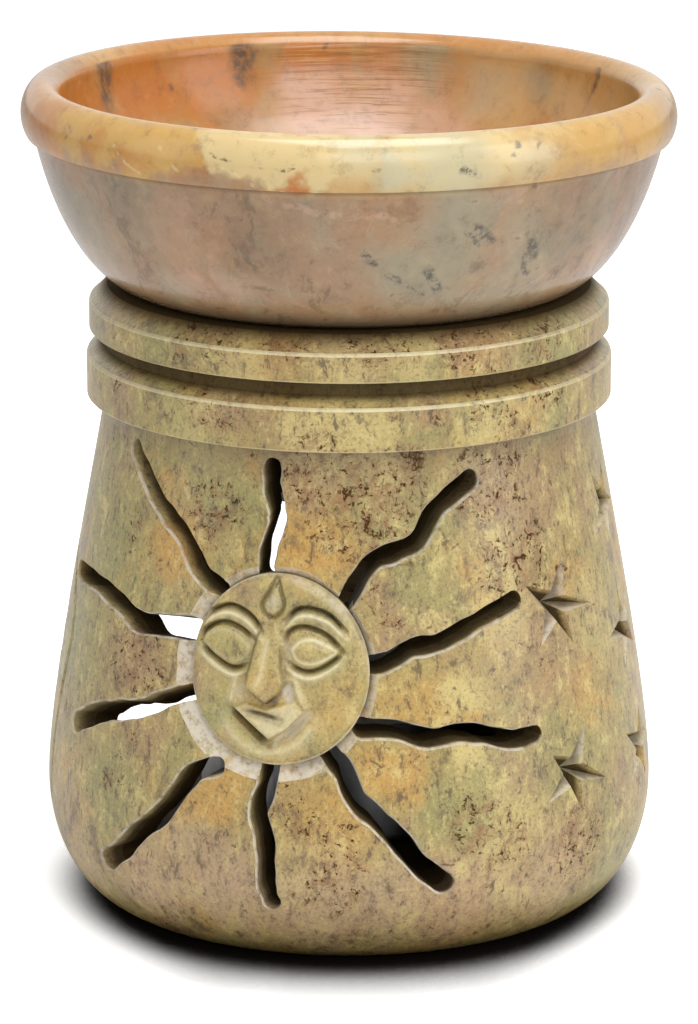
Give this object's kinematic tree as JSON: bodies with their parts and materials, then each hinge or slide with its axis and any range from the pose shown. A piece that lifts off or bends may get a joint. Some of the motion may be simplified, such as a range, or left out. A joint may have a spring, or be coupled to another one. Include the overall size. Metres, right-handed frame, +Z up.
{
  "type": "essential oil burner",
  "caption": "Round carved stone oil burner: hollow body with a pierced wavy-ray sun, collar rings, a back doorway, a lift-off dish on top and a tealight inside.",
  "frame": {"origin": "centre of the flat base, on the turning axis of the body", "axes": "+Z up along the turning axis, -Y the carved front, +X to the right of it"},
  "size_m": [0.082, 0.082, 0.1051],
  "materials": {
    "body_stone": "polished soapstone, mottled olive and ochre",
    "bowl_stone": "polished soapstone, orange, cream and pinkish brown",
    "cup_aluminium": "thin pressed aluminium",
    "wax": "white candle wax",
    "sustainer_steel": "tinned steel",
    "wick_cotton": "waxed cotton"
  },
  "bodies": {
    "burner": {"stone_body": "body_stone"},
    "dish": {"oil_bowl": "bowl_stone"},
    "tealight": {"tealight_cup": "cup_aluminium", "tealight_wax": "wax", "wick_sustainer": "sustainer_steel", "wick": "wick_cotton"}
  },
  "joints": [
    {"name": "bowl_lift", "type": "slide", "parent": "burner", "child": "dish", "axis": [0, 0, 1], "range_m": [0, 0.04]},
    {"name": "tealight_slide", "type": "slide", "parent": "burner", "child": "tealight", "axis": [-0.766, 0.6428, 0], "range_m": [0, 0.075]}
  ]
}
